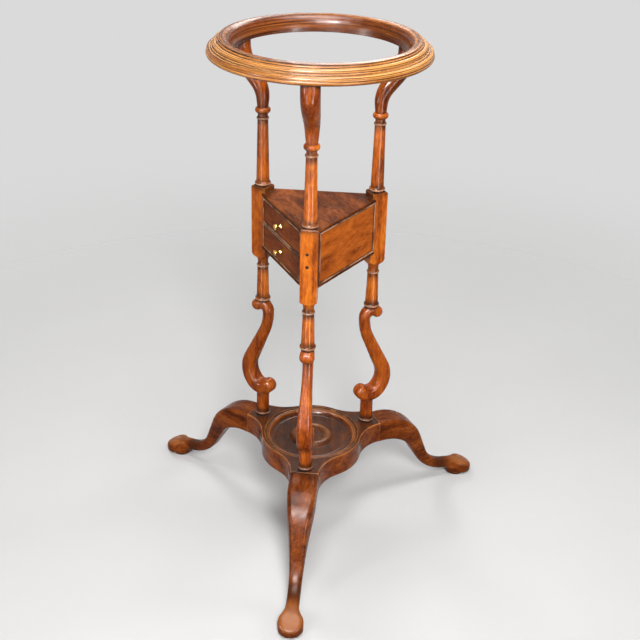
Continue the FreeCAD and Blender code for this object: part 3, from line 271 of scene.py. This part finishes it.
# How many times as many cells the noises have along and across grain that runs round the axis.
ROUND_ALONG = 0.3
ROUND_ACROSS = 1.6
# Turn that sets the grain of a piece upright, in degrees.
UPRIGHT = (0, 90, 0)

# The grain's tones: the shares of its noises and the places of deep, middle and light.
FLECK_SHARE = 0.3
TONE_STOPS = (0.39, 0.50, 0.61)
PORE_LEVELS = (0.60, 0.72)
PORE_DARK = 0.3

# Below, levels are where an effect begins and where it is full, and after them its weakest and strongest.
# Upper faces greyed by dust and a painted sheen: how far up they face, then their patches.
DUST_AND_SHEEN_SLOPES = (0.35, 0.95)
DUST_AND_SHEEN_STAINS = (0.28, 0.72, 0.6, 1.0)

# Dark polish and painted shade in fine lines and in collars about the joints, and painted shade near other
# pieces.
LINE_REACH = 0.0045
LINE_LEVELS = (0.08, 0.45)
COLLAR_REACH = 0.012
COLLAR_LEVELS = (0.05, 0.34, 0.0, 0.85)
SHADE_REACH = 0.028
SHADE_LEVELS = (0.12, 0.75)
SHADE_STAINS = (0.3, 0.65, 0.55, 1.0)
GRIME_DULLNESS = 0.25

DENT_LEVELS = (0.70, 0.78)
DENT_DARK = 0.5
WEAR_RADIUS = 0.0013
# Patches here and below: how many to the metre, then levels of their noise.
WEAR_PATCHES = (60, 0.40, 0.62)
# How much smoother and rougher than its roughness a polish gets.
POLISH_RANGE = (-0.05, 0.09)

# The lie of the surface: how rounded its edges are, how high its lumps, dents and grain stand, and the share of
# the flecks in the grain.
ARRIS_RADIUS = 0.0007
LUMP_HEIGHT = 0.0008
DENT_HEIGHT = -0.0002
GRAIN_HEIGHT = 0.00004
FLECK_RELIEF = 0.5

# Heights of the turned beads of a post.
BEAD_HEIGHTS = (0.1600, 0.3755, 0.4340, 0.5725, 0.6750)
BEAD_PATCHES = (70, 0.3, 0.62, 0.45, 1.0)
# The dark polish and painted shade about the beads, then their bare crests with a painted highlight: the
# distance up to which they are full, the distance at which they are gone, their strength and their colour.
BEAD_SHADE_AND_HIGHLIGHTS = ((0.003, 0.015, 0.9, DARK_BROWN), (0.0006, 0.0020, 0.8, BARE_AND_HIGHLIGHT))

# The platform's top edge: how far below the top it is rubbed, and how far up it faces there.
RIM_DEPTHS = (0.004, 0.001)
RIM_LOW_SLOPES = (-0.2, 0.15)
RIM_HIGH_SLOPES = (0.97, 0.8)
RIM_EDGE_RADIUS = 0.003
RIM_PATCHES = (30, 0.32, 0.6, 0.35, 1.0)
# Radii of the crests in the platform's dish, rubbed and painted with a highlight, and how far to their sides
# this reaches.
DISH_CRESTS = ((0.0725, 0.0022), (0.0270, 0.0080))
DISH_SLOPES = (0.2, 0.6)
DISH_RUB_AND_HIGHLIGHT = 0.42

REED_LINE_LEVELS = (0.49, 0.59)
REED_LINE_DARK = 0.85
# Shares of the ring's radius between which its throat darkens.
THROAT_SHARES = (0.85, 0.80)

# A leg's dark ankle: its distance from the axis, then, as for a bead, the distance up to which it is full, the
# distance at which it is gone, and its strength.
ANKLE = (0.252, 0.004, 0.022, 0.75)
# The crown of a foot, rubbed and painted with a highlight: its distances from the axis and how far up it faces.
CROWN_RADII = (0.262, 0.290)
CROWN_SLOPES = (0.1, 0.8)
CROWN_PATCHES = (50, 0.3, 0.6, 0.4, 0.9)

# The crest of a bead strip is where it is least hidden; there it is painted paler, as bare wood with a
# highlight.
STRIP_REACH = 0.003
STRIP_LEVELS = (0.16, 0.05)
STRIP_PATCHES = (42, 0.40, 0.62, 0.12, 0.9)

OAK_PORE_LEVELS = (0.56, 0.7)
OAK_PORE_DARK = 0.6
OAK_RAY_LEVELS = (0.62, 0.72)
OAK_RAY_LIGHT = 0.35
OAK_HIDDEN_LEVELS = (0.2, 0.9)
# How dark the oak gets where it is hidden: grime and painted shade.
OAK_GRIME_AND_SHADE = 0.6
OAK_POLISH = (0.2, 0.8, 0.5, 0.68)
OAK_PORE_HEIGHT = -0.00008
OAK_GLOSS = 0.08

# Cells to the metre of a knob's turning marks, along X, Y and Z.
BRASS_TURNING = (60, 2600, 60)
BRASS_TURNING_HEIGHT = 0.00002
BRASS_HIDDEN_REACH = 0.004
BRASS_HIDDEN_LEVELS = (0.25, 0.9)
BRASS_GRIME = 0.8
BRASS_ROUGHNESS = (0.16, 0.3)

# Where the grain of each kind of piece starts in the timber, and the steps between pieces of a kind.
SEEDS = {"pins": 3.3, "platform": 0.9, "legs": 2.3, "boards": 4.1, "panels": 5.2, "fronts": 7.1, "linings": 9,
         "divider": 2.0, "stop": 3.0}
POST_STEP = 1.7
POST_PIECE_STEP = 0.41
LINING_STEP = 0.3
# Turns of the grain of the platform and of drawer sides, in degrees.
PLATFORM_TURN = (0, 0, 25)
DRAWER_SIDE_TURN = (0, 0, 90)


def straight_grain(finish, turn=(0, 0, 0), seed=0.0):
    """Grain along the first axis once the piece is turned by degrees, with its own place in the timber."""
    timber_place = finish.mapped(finish.place, turn=turn, shift=[share * seed for share in SEED_SHIFT])
    return lambda along, across: finish.mapped(timber_place, (along, across, across))


def round_grain(finish):
    """Grain in long streaks that run round the stand's axis."""
    x, y, z = finish.parts(finish.place)[:3]
    timber_place = finish.join(finish.plus(x, y), finish.from_axis(), z)
    return lambda along, across: finish.mapped(
        timber_place, (ROUND_ALONG * along, ROUND_ACROSS * across, ROUND_ACROSS * across))


def timber(turn=(0, 0, 0), seed=0.0):
    """The grain of one straight piece of wood."""
    return lambda finish: straight_grain(finish, turn, seed)


def streaks(finish, scaled, noise):
    """A noise drawn out along the grain."""
    along, across, *settings = noise
    return finish.noise(scaled(along, across), 1.0, *settings)


def gathered_and_shaded(finish, stains):
    """How much dark polish and painted shade lie on a spot, from 0 to 1."""
    lines = finish.between(finish.crevice(LINE_REACH), *LINE_LEVELS)
    collars = finish.between(finish.crevice(COLLAR_REACH), *COLLAR_LEVELS)
    shade = finish.between(finish.crevice(SHADE_REACH), *SHADE_LEVELS)
    broad = finish.times(finish.greater(collars, shade), finish.between(stains, *SHADE_STAINS))
    return finish.greater(lines, broad)


def mahogany(name, colours, grain, wear=0.5, grime_and_shade=0.9, dust_and_sheen=0.0, gloss=0.08, roughness=0.2, figure=0.35,
             tint=None):
    """Polished old mahogany: mottled grain, dark polish and painted shade in crevices, worn edges and, with
    dust and sheen, dull upper faces greyed by dust and a painted sheen.
    """
    finish = Finish(name)
    scaled = grain(finish)
    flecks = streaks(finish, scaled, FLECKS)
    pores = finish.between(streaks(finish, scaled, PORES), *PORE_LEVELS)
    tone = finish.plus(
        finish.times(streaks(finish, scaled, BANDS), 1 - FLECK_SHARE - figure),
        finish.times(flecks, FLECK_SHARE),
        finish.times(streaks(finish, scaled, CLOUDS), figure))
    colour = finish.ramp(tone, *zip(TONE_STOPS, colours))
    colour = finish.mix(finish.times(pores, PORE_DARK), colour, colours[0])
    stains = finish.noise(finish.place, *STAINS)
    # Upper faces greyed and darkened by dust and a painted sheen.
    if dust_and_sheen:
        level = finish.between(finish.slope(), *DUST_AND_SHEEN_SLOPES)
        dust_and_sheen_share = finish.times(level, finish.between(stains, *DUST_AND_SHEEN_STAINS), dust_and_sheen)
        colour = finish.mix(dust_and_sheen_share, colour, DUST_AND_SHEEN_GREY)
    if tint:
        colour = tint(finish, colour)

    # Dark polish and painted shade: darker in crevices, in collars and near other pieces.
    dark_and_shaded = gathered_and_shaded(finish, stains)
    colour = finish.mix(finish.times(dark_and_shaded, grime_and_shade), colour, GRIME_AND_SHADE)
    dents = finish.between(finish.noise(finish.place, *DENTS), *DENT_LEVELS)
    colour = finish.mix(finish.times(dents, DENT_DARK), colour, GRIME_AND_SHADE)
    worn = finish.times(finish.edge(WEAR_RADIUS), finish.patches(*WEAR_PATCHES), wear)
    colour = finish.mix(worn, colour, WORN)

    smoothest, roughest = (roughness + change for change in POLISH_RANGE)
    polish = finish.between(stains, *NOISE_ENDS, smoothest, roughest)
    polish = finish.plus(polish, finish.times(dark_and_shaded, GRIME_DULLNESS))

    relief = finish.math("SUBTRACT", finish.times(flecks, FLECK_RELIEF), pores)
    lumps = finish.bump(finish.noise(finish.place, *LUMPS), LUMP_HEIGHT, finish.soft_normal(ARRIS_RADIUS))
    dented = finish.bump(dents, DENT_HEIGHT, lumps)
    finish.set(Base_Color=colour, Roughness=polish, Normal=finish.bump(relief, GRAIN_HEIGHT, dented))
    finish.set(Specular_IOR_Level=gloss)
    return finish.material


def toned(colours, share):
    """The same timber, darker or lighter."""
    return [[share * part for part in colour] for colour in colours]


def turned_tint(finish, colour):
    """Dark polish and painted shade about the turned beads of a post, and bare wood with a painted highlight
    along their crests.
    """
    height = finish.height()
    patches = finish.patches(*BEAD_PATCHES)
    # Painted shade with dark polish about each bead, then a painted highlight with bare wood on its crest.
    for full, gone, strength, band_colour in BEAD_SHADE_AND_HIGHLIGHTS:
        for bead in BEAD_HEIGHTS:
            near = finish.near(height, bead, full, gone, strength)
            colour = finish.mix(finish.times(near, patches), colour, band_colour)
    return colour


def platform_tint(finish, colour):
    """Rubbed wood along the rounded top edge of the platform, and rubbed wood with a painted highlight on the
    upward crests of its dish.
    """
    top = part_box("base_platform")[1].z
    slope = finish.slope()
    high = finish.between(finish.height(), *(top - depth for depth in RIM_DEPTHS))
    rounded = finish.times(finish.between(slope, *RIM_LOW_SLOPES), finish.between(slope, *RIM_HIGH_SLOPES))
    edge = finish.greater(rounded, finish.edge(RIM_EDGE_RADIUS))
    patches = finish.patches(*RIM_PATCHES)
    colour = finish.mix(finish.times(high, edge, patches), colour, RUBBED_AND_HIGHLIGHT)
    from_axis = finish.from_axis()
    # The dish's upward crests are painted paler: rubbed wood with a painted highlight.
    upward = finish.times(finish.between(slope, *DISH_SLOPES), patches)
    for radius, reach in DISH_CRESTS:
        crest = finish.near(from_axis, radius, 0.0, reach, DISH_RUB_AND_HIGHLIGHT)
        colour = finish.mix(finish.times(crest, upward), colour, RUBBED_AND_HIGHLIGHT)
    return colour


def ring_tint(finish, colour):
    """Fine dark lines that follow the reeds, and a darker throat inside them."""
    lines = finish.between(streaks(finish, round_grain(finish), REED_LINES), *REED_LINE_LEVELS)
    colour = finish.mix(finish.times(lines, REED_LINE_DARK), colour, DARK_BROWN)
    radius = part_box("basin_ring")[1].x
    inside = finish.between(finish.from_axis(), *(share * radius for share in THROAT_SHARES))
    return finish.mix(inside, colour, THROAT, "MULTIPLY")


def foot_tint(finish, colour):
    """A darker band about the ankle of a leg, and redder, paler wood on the upward crown of its foot: rubbed
    wood with a painted highlight.
    """
    from_axis = finish.from_axis()
    colour = finish.mix(finish.near(from_axis, *ANKLE), colour, DARK_BROWN)
    # Painted highlight with rubbed wood on the upward crown.
    out = finish.between(from_axis, *CROWN_RADII)
    up = finish.between(finish.slope(), *CROWN_SLOPES)
    return finish.mix(finish.times(out, up, finish.patches(*CROWN_PATCHES)), colour, HANDLED_AND_HIGHLIT_FOOT)


def bead_tint(finish, colour):
    """Bare, paler wood and a painted highlight along the crest of a bead strip, in patches."""
    # Painted highlight with bare wood on the least hidden crest.
    crest = finish.between(finish.crevice(STRIP_REACH), *STRIP_LEVELS)
    return finish.mix(finish.times(crest, finish.patches(*STRIP_PATCHES)), colour, BARE_AND_HIGHLIGHT)


def oak(name, seed=0.0, turn=(0, 0, 0)):
    """Plain old oak of drawer linings: open grain, short rays, brown with age and hardly polished."""
    finish = Finish(name)
    scaled = straight_grain(finish, turn, seed)
    rings = streaks(finish, scaled, OAK_RINGS)
    pores = finish.between(streaks(finish, scaled, OAK_PORES), *OAK_PORE_LEVELS)
    rays = finish.between(streaks(finish, scaled, OAK_RAYS), *OAK_RAY_LEVELS)
    colour = finish.ramp(rings, *zip(NOISE_ENDS, OAK_COLOURS))
    colour = finish.mix(finish.times(rays, OAK_RAY_LIGHT), colour, OAK_RAY_COLOUR)
    colour = finish.mix(finish.times(pores, OAK_PORE_DARK), colour, OAK_PORE_COLOUR)
    # Grime and painted shade: darker where a spot is hidden in a crevice.
    hidden = finish.between(finish.crevice(LINE_REACH), *OAK_HIDDEN_LEVELS)
    colour = finish.mix(finish.times(hidden, OAK_GRIME_AND_SHADE), colour, GRIME_AND_SHADE)
    polish = finish.between(rings, *OAK_POLISH)
    normal = finish.bump(pores, OAK_PORE_HEIGHT, finish.soft_normal(ARRIS_RADIUS))
    finish.set(Base_Color=colour, Roughness=polish, Normal=normal)
    finish.set(Specular_IOR_Level=OAK_GLOSS)
    return finish.material


def brass(name):
    """Lacquered brass: bright where it is handled, brown in the waist."""
    finish = Finish(name)
    cloud = finish.noise(finish.place, *BRASS_CLOUDS)
    turning = finish.noise(finish.mapped(finish.place, BRASS_TURNING), detail=1)
    colour = finish.ramp(cloud, *zip(NOISE_ENDS, BRASS_COLOURS))
    hidden = finish.between(finish.crevice(BRASS_HIDDEN_REACH), *BRASS_HIDDEN_LEVELS)
    colour = finish.mix(finish.times(hidden, BRASS_GRIME), colour, BRASS_WAIST)
    polish = finish.between(cloud, *NOISE_ENDS, *BRASS_ROUGHNESS)
    normal = finish.bump(turning, BRASS_TURNING_HEIGHT)
    finish.set(Base_Color=colour, Metallic=1.0, Roughness=polish, Normal=normal)
    return finish.material


def dress(node, material):
    """Gives a CAD piece its finish."""
    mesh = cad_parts[node].data
    mesh.materials.clear()
    mesh.materials.append(material)


def dress_ring():
    dress("basin_ring", mahogany("mahogany_ring", REEDS, round_grain, wear=0.8, grime_and_shade=1.0, gloss=0.12,
                                 roughness=0.24, figure=0.1, tint=ring_tint))


def dress_posts():
    for number, side in enumerate(SIDES):
        for place, piece in enumerate(("arm", "column", "scroll", "peg")):
            node = f"{side}_{piece}"
            grain = timber(UPRIGHT, POST_STEP * number + POST_PIECE_STEP * place)
            # The post's colours are darkened or lightened as painted light and shade.
            colours = toned(POSTS if piece == "column" else SCROLLS, POST_LIGHT_AND_SHADE[side])
            tint = None if piece == "scroll" else turned_tint
            dress(node, mahogany(f"mahogany_{node}", colours, grain, gloss=0.09, tint=tint))
    dress("panel_pins", mahogany("mahogany_pins", BEADS, timber(seed=SEEDS["pins"]), wear=0.2))


def dress_base():
    grain = timber(PLATFORM_TURN, SEEDS["platform"])
    dress("base_platform", mahogany("mahogany_platform", BASE, grain, wear=0.8, dust_and_sheen=0.9, gloss=0.10,
                                    roughness=0.16, tint=platform_tint))
    for number, (side, heading) in enumerate(SIDES.items()):
        node = f"{side}_leg"
        grain = timber((0, 0, -heading), SEEDS["legs"] + number)
        dress(node, mahogany(f"mahogany_{node}", BASE, grain, dust_and_sheen=0.3, gloss=0.045, tint=foot_tint))


def dress_box():
    for number, board in enumerate(("box_top_board", "box_bottom_board")):
        grain = timber(seed=SEEDS["boards"] + number)
        dress(board, mahogany(f"mahogany_{board}", BOARDS, grain, wear=1.0, gloss=0.02, figure=0.6))
    for number, (side, heading) in enumerate(PANELS.items()):
        along_panel = heading + 90
        grain = timber((0, 0, -along_panel), SEEDS["panels"] + number)
        dress(f"{side}_side_panel", mahogany(f"mahogany_{side}_panel", PANEL_FACES, grain, gloss=0.03,
                                             figure=0.45))
        dress(f"{side}_panel_bead", mahogany(f"mahogany_{side}_bead", BEADS, grain, gloss=0.04,
                                             tint=bead_tint))
        dress(f"{side}_drawer_guide", oak(f"oak_{side}_guide", number, UPRIGHT))
    dress("drawer_divider", oak("oak_divider", SEEDS["divider"]))
    dress("drawer_stop", oak("oak_stop", SEEDS["stop"], UPRIGHT))


def dress_drawers():
    metal = brass("brass")
    for number, level in enumerate(LEVELS):
        grain = timber(seed=SEEDS["fronts"] + number)
        dress(f"{level}_drawer_front", mahogany(f"mahogany_{level}_front", FRONTS, grain, gloss=0.025,
                                                roughness=0.32, figure=0.45))
        dress(f"{level}_drawer_bead", mahogany(f"mahogany_{level}_bead", BEADS, grain, gloss=0.04,
                                               tint=bead_tint))
        dress(f"{level}_drawer_knob", metal)
        for place, piece in enumerate(("bottom", "right_side", "left_side", "back")):
            turn = DRAWER_SIDE_TURN if "side" in piece else (0, 0, 0)
            seed = SEEDS["linings"] + number + LINING_STEP * place
            dress(f"{level}_drawer_{piece}", oak(f"oak_{level}_{piece}", seed, turn))


def around_view(turn, distance, height):
    """A point at an angle to the right of the camera, seen from the stand's axis."""
    heading = math.radians(CAMERA_TURN + turn)
    return Vector((distance * math.sin(heading), -distance * math.cos(heading), height))


def aimed(place, height):
    """The matrix of something at a place that looks at the stand's axis at a height."""
    turn = (Vector((0, 0, height)) - place).to_track_quat("-Z", "Y")
    return Matrix.Translation(place) @ turn.to_matrix().to_4x4()


def make_camera():
    data = bpy.data.cameras.new("photo_camera")
    data.sensor_width = SENSOR_WIDTH
    data.lens = FOCAL_PIXELS / IMAGE_SIDE * SENSOR_WIDTH
    data.shift_x = (IMAGE_SIDE / 2 - CENTRE_PIXEL[0]) / IMAGE_SIDE
    data.shift_y = (CENTRE_PIXEL[1] - IMAGE_SIDE / 2) / IMAGE_SIDE
    camera = bpy.data.objects.new("photo_camera", data)
    bpy.context.scene.collection.objects.link(camera)
    roll = Matrix.Rotation(math.radians(CAMERA_ROLL), 4, "Z")
    camera.matrix_world = aimed(around_view(0, CAMERA_DISTANCE, CAMERA_HEIGHT), CAMERA_AIM_HEIGHT) @ roll
    bpy.context.scene.camera = camera


# Soft boxes that only light the colours: degrees from the camera, distance, height, width, height of the box,
# watts, height aimed at.
SOFT_BOXES = {
    "key": (8, 2.0, 1.9, 0.5, 0.6, 64, 0.4),
    "fill": (-55, 2.0, 1.5, 0.20, 1.2, 10, 0.4),
    "top": (0, 0.45, 2.3, 0.6, 0.5, 22, 0.2),
    "back": (-150, 2.0, 1.9, 0.6, 0.8, 26, 0.4),
    "side": (110, 2.0, 1.6, 0.6, 0.8, 16, 0.4),
}
# Boxes that only show as highlights in the polish, with the same numbers.
GLINTS = {
    "low_left": (-34, 0.75, 0.26, 0.10, 0.42, 7, 0.26),
    "low_right": (26, 0.75, 0.26, 0.10, 0.42, 8, 0.26),
    "glint": (-20, 1.6, 1.9, 0.3, 0.4, 130, 0.4),
    "sky": (20, 0.2, 2.2, 1.0, 1.0, 110, 0.2),
    "behind": (170, 1.2, 1.65, 0.8, 0.4, 20, 0.3),
    "front": (-12, 1.5, 1.15, 0.8, 0.6, 34, 0.7),
    "left_pane": (-62, 1.5, 0.44, 0.3, 0.34, 20, 0.8),
    "middle_pane": (-12, 1.5, 0.44, 0.8, 0.34, 12, 0.8),
    "right_pane": (36, 1.5, 0.44, 0.3, 0.34, 20, 0.8),
    "window": (-10, 1.25, 1.7, 0.7, 0.9, 110, 0.8),
}


def make_lights(boxes, spread):
    """Makes boxes that only light the colours, or, without spread, that only show as highlights."""
    for name, (turn, distance, height, width, tall, watts, aim) in boxes.items():
        data = bpy.data.lights.new(name, "AREA")
        data.shape = "RECTANGLE"
        data.size = width
        data.size_y = tall
        data.energy = watts
        box = bpy.data.objects.new(name, data)
        box.visible_camera = False
        box.visible_diffuse = spread
        box.visible_glossy = not spread
        bpy.context.scene.collection.objects.link(box)
        box.matrix_world = aimed(around_view(turn, distance, height), aim)


def seen_rays(tree):
    """1 for what the camera sees, by itself or in a reflection, and 0 for light that spreads."""
    path = tree.nodes.new("ShaderNodeLightPath")
    seen = path.outputs["Is Camera Ray"]
    for ray in ("Is Glossy Ray", "Is Transmission Ray"):
        either = tree.nodes.new("ShaderNodeMath")
        either.operation = "MAXIMUM"
        tree.links.new(seen, either.inputs[0])
        tree.links.new(path.outputs[ray], either.inputs[1])
        seen = either.outputs[0]
    return seen


# Strength and colour of the light all round, and of the background.
ROOM = (0.12, (1.0, 0.98, 0.95, 1.0))
BACKGROUND = (0.70, (1.0, 1.0, 1.0, 1.0))


def make_world():
    """An even light all round, and a pale background for what the camera and reflections see."""
    world = bpy.data.worlds.new("studio")
    world.use_nodes = True
    tree = world.node_tree
    room = tree.nodes["Background"]
    seen = tree.nodes.new("ShaderNodeBackground")
    for node, (strength, colour) in ((room, ROOM), (seen, BACKGROUND)):
        node.inputs["Strength"].default_value = strength
        node.inputs["Color"].default_value = colour
    choice = tree.nodes.new("ShaderNodeMixShader")
    tree.links.new(seen_rays(tree), choice.inputs[0])
    tree.links.new(room.outputs[0], choice.inputs[1])
    tree.links.new(seen.outputs[0], choice.inputs[2])
    tree.links.new(choice.outputs[0], tree.nodes["World Output"].inputs["Surface"])
    bpy.context.scene.world = world


FLOOR_SIDE = 12.0
FLOOR_COLOUR = (0.50, 0.497, 0.492)
FLOOR_CLOUDS = (3, 2)
# The floor's darkest clouds, as a share of its colour.
FLOOR_CLOUD_DARK = 0.97
# The floor's colour for the light that it spreads back onto the stand.
FLOOR_BOUNCE = (0.22, 0.18, 0.14)
# Distances from the axis between which the floor fades away.
FLOOR_FADE = (0.4, 1.8)
FLOOR_ROUGHNESS = 0.7
FLOOR_GLOSS = 0.2


def make_floor():
    """A pale floor that keeps the stand's shadow and fades into the background farther out."""
    half = FLOOR_SIDE / 2
    mesh = bpy.data.meshes.new("studio_floor")
    corners = [(-half, -half, 0), (half, -half, 0), (half, half, 0), (-half, half, 0)]
    mesh.from_pydata(corners, [], [(0, 1, 2, 3)])
    floor = bpy.data.objects.new("studio_floor", mesh)
    bpy.context.scene.collection.objects.link(floor)
    finish = Finish("pale_floor")
    cloud = finish.noise(finish.place, *FLOOR_CLOUDS)
    darkest = tuple(FLOOR_CLOUD_DARK * part for part in FLOOR_COLOUR)
    colour = finish.ramp(cloud, *zip(NOISE_ENDS, (darkest, FLOOR_COLOUR)))
    colour = finish.mix(seen_rays(finish.tree), FLOOR_BOUNCE, colour)
    length = finish.node("ShaderNodeVectorMath", operation="LENGTH")
    finish.feed(length.inputs[0], finish.place)
    finish.set(Base_Color=colour, Roughness=FLOOR_ROUGHNESS, Specular_IOR_Level=FLOOR_GLOSS)
    finish.set(Alpha=finish.between(length.outputs["Value"], *FLOOR_FADE, 1.0, 0.0))
    mesh.materials.append(finish.material)


dress_ring()
dress_posts()
dress_base()
dress_box()
dress_drawers()
make_camera()
make_lights(SOFT_BOXES, spread=True)
make_lights(GLINTS, spread=False)
make_world()
make_floor()
bpy.context.scene.view_settings.view_transform = "Standard"
